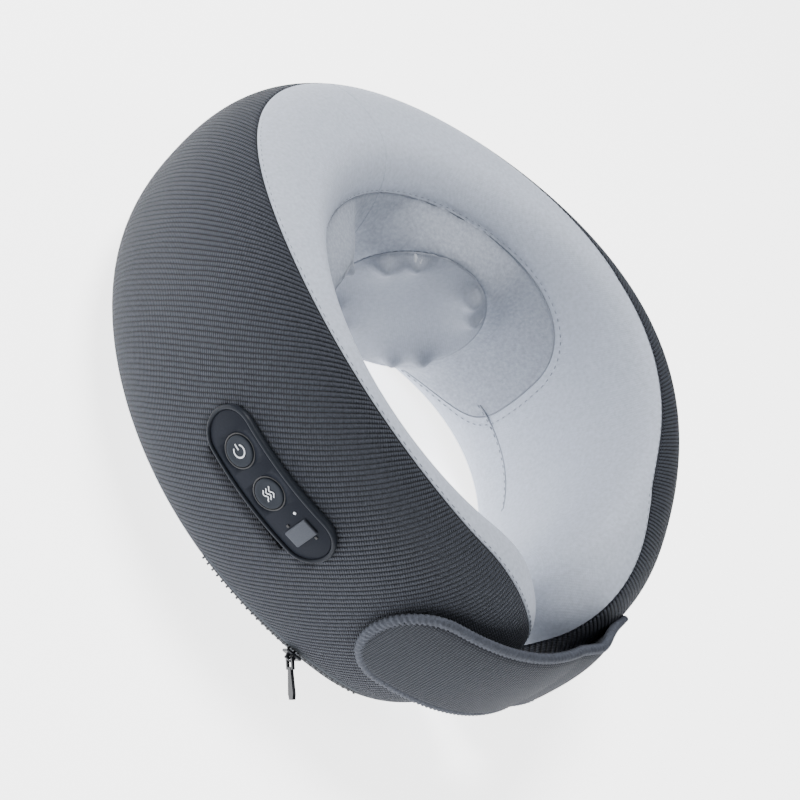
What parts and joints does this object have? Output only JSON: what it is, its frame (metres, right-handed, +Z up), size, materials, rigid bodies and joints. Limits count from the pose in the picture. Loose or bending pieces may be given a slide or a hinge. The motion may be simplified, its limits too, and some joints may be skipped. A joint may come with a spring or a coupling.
{
  "type": "shiatsu neck massager",
  "caption": "Cordless neck massager: horseshoe collar in ribbed knit with a stretch inner skin over kneading heads, worm drives, foam arms, heat films, key pod, strap and zip.",
  "frame": {"origin": "middle of the collar's box in X and Y, on the surface it rests on", "axes": "+Z up; +Y towards the wearer's nape; the arms close at -Y; +X is the arm that carries the strap, -X the arm that carries the keys"},
  "size_m": [0.2388, 0.2558, 0.1074],
  "materials": {
    "dark_knit": "ribbed knit",
    "light_knit": "fine stretch knit",
    "foam": "open-cell foam",
    "abs": "moulded",
    "gloss": "gloss",
    "button": "satin",
    "steel": "plated",
    "brass": "turned",
    "acetal": "moulded",
    "silicone": "soft",
    "board": "solder mask",
    "film": "polyimide film",
    "cell": "shrink sleeve",
    "led": "clear",
    "rubber": "matt",
    "lead": "sheathed"
  },
  "bodies": {
    "core": {"outer_cover_nape": "dark_knit", "inner_cover_nape": "light_knit", "massage_panel": "light_knit", "nape_foam": "foam", "chassis_plate": "steel", "left_gearbox_base": "abs", "left_gearbox_cover": "abs", "left_gearbox_screw_1": "steel", "left_gearbox_screw_2": "steel", "left_motor": "steel", "left_shaft_bush": "brass", "left_motor_lead": "lead", "right_gearbox_base": "abs", "right_gearbox_cover": "abs", "right_gearbox_screw_1": "steel", "right_gearbox_screw_2": "steel", "right_motor": "steel", "right_shaft_bush": "brass", "right_motor_lead": "lead"},
    "left_arm": {"outer_cover_left": "dark_knit", "inner_cover_left": "light_knit", "left_arm_foam": "foam", "left_heating_film": "film", "battery_pack": "cell", "battery_lead": "lead"},
    "right_arm": {"outer_cover_right": "dark_knit", "inner_cover_right": "light_knit", "right_arm_foam": "foam", "right_heating_film": "film", "arm_loop_patch": "rubber", "control_pod": "abs", "control_bezel": "gloss", "control_face": "gloss", "status_led": "led", "usb_port": "steel", "control_board": "board", "power_switch": "abs", "heat_switch": "abs", "control_lead": "lead", "zip_tape": "rubber"},
    "closing_strap": {"strap": "dark_knit", "strap_hook_patch": "rubber"},
    "left_head": {"left_worm_wheel": "acetal", "left_head_shaft": "steel", "left_head_carrier": "steel", "left_massage_head": "silicone"},
    "right_head": {"right_worm_wheel": "acetal", "right_head_shaft": "steel", "right_head_carrier": "steel", "right_massage_head": "silicone"},
    "left_rotor": {"left_worm": "brass"},
    "right_rotor": {"right_worm": "brass"},
    "power_key": {"power_button": "button"},
    "heat_key": {"heat_button": "button"},
    "port_flap": {"usb_cover": "rubber"},
    "slider": {"zip_slider": "steel"},
    "pull_tab": {"zip_pull": "steel"}
  },
  "joints": [
    {"name": "collar_open", "type": "hinge", "parent": "core", "child": "left_arm", "pos_m": [0.1197, 0.00664, 0.051], "axis": [0, 0, 1], "range_deg": [0, 18]},
    {"name": "right_arm_open", "type": "hinge", "parent": "core", "child": "right_arm", "pos_m": [-0.11782, 0.00664, 0.051], "axis": [0, 0, 1], "range_deg": [-18, 0]},
    {"name": "strap_open", "type": "hinge", "parent": "left_arm", "child": "closing_strap", "pos_m": [0.04666, -0.117, 0.0545], "axis": [0, 0, 1], "range_deg": [0, 90]},
    {"name": "left_head_spin", "type": "hinge", "parent": "core", "child": "left_head", "pos_m": [0.04819, 0.05575, 0.046], "axis": [0.5592, 0.829, 0], "continuous": true},
    {"name": "right_head_spin", "type": "hinge", "parent": "core", "child": "right_head", "pos_m": [-0.04631, 0.05575, 0.046], "axis": [-0.5592, 0.829, 0], "continuous": true},
    {"name": "left_worm_spin", "type": "hinge", "parent": "core", "child": "left_rotor", "pos_m": [0.04819, 0.05575, 0.021], "axis": [0.829, -0.5592, 0], "continuous": true},
    {"name": "right_worm_spin", "type": "hinge", "parent": "core", "child": "right_rotor", "pos_m": [-0.04631, 0.05575, 0.021], "axis": [-0.829, -0.5592, 0], "continuous": true},
    {"name": "power_press", "type": "slide", "parent": "right_arm", "child": "power_key", "axis": [0.9808, 0.1852, 0.061], "range_m": [0, 0.0008], "stiffness_N_per_m": 400},
    {"name": "heat_press", "type": "slide", "parent": "right_arm", "child": "heat_key", "axis": [0.9426, 0.3284, 0.0603], "range_m": [0, 0.0008], "stiffness_N_per_m": 400},
    {"name": "port_flap_open", "type": "hinge", "parent": "right_arm", "child": "port_flap", "pos_m": [-0.10598, -0.05219, 0.06289], "axis": [0.0598, 0.0116, -0.9981], "range_deg": [0, 110]},
    {"name": "zip_run", "type": "hinge", "parent": "right_arm", "child": "slider", "pos_m": [0.02754, 0.00575, 0.013], "axis": [0, 0, 1], "range_deg": [-18, 10.5]},
    {"name": "pull_swing", "type": "hinge", "parent": "slider", "child": "pull_tab", "pos_m": [-0.07714, -0.0821, 0.01167], "axis": [-0.4072, -0.3417, 0.847], "range_deg": [-120, 45]}
  ],
  "couplings": [
    {"joint": "right_arm_open", "follows": "collar_open", "ratio": -1},
    {"joint": "strap_open", "follows": "collar_open", "ratio": 5},
    {"joint": "left_worm_spin", "follows": "left_head_spin", "ratio": 32},
    {"joint": "right_worm_spin", "follows": "right_head_spin", "ratio": 32}
  ]
}
